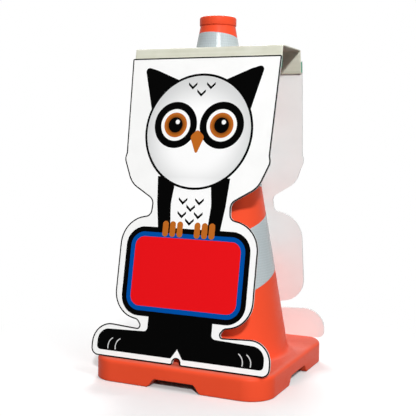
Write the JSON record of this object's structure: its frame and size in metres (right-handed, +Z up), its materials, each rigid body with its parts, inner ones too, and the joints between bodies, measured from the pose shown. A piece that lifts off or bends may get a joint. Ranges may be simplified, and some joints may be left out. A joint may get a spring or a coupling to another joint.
{
  "type": "cone top sign board",
  "caption": "Two printed boards hung from a folded cap on a traffic cone's neck, leaning like an A-frame, with a bird figure over a bare red panel.",
  "frame": {"origin": "on the ground under the cone's axis, at the middle of the square base", "axes": "+Z up the cone's axis; the front board faces -Y; +X to the right seen from the front"},
  "size_m": [0.3666, 0.364, 0.7],
  "materials": {
    "cone_plastic": "moulded, satin",
    "reflective_tape": "retroreflective, satin",
    "cap_plastic": "satin",
    "foam_tape": "matte",
    "board_sheet": "satin",
    "black_film": "satin print",
    "grey_film": "satin print",
    "orange_film": "satin print",
    "red_film": "satin print",
    "blue_film": "satin print"
  },
  "bodies": {
    "root": {"traffic_cone": "cone_plastic", "upper_reflective_band": "reflective_tape", "middle_reflective_band": "reflective_tape", "lower_reflective_band": "reflective_tape", "sign_cap": "cap_plastic", "front_fixing_tape": "foam_tape", "back_fixing_tape": "foam_tape", "front_board": "board_sheet", "back_board": "board_sheet", "front_black_print": "black_film", "front_grey_print": "grey_film", "front_orange_print": "orange_film", "front_red_print": "red_film", "front_blue_print": "blue_film", "back_black_print": "black_film", "back_grey_print": "grey_film", "back_orange_print": "orange_film", "back_red_print": "red_film", "back_blue_print": "blue_film"}
  },
  "joints": []
}
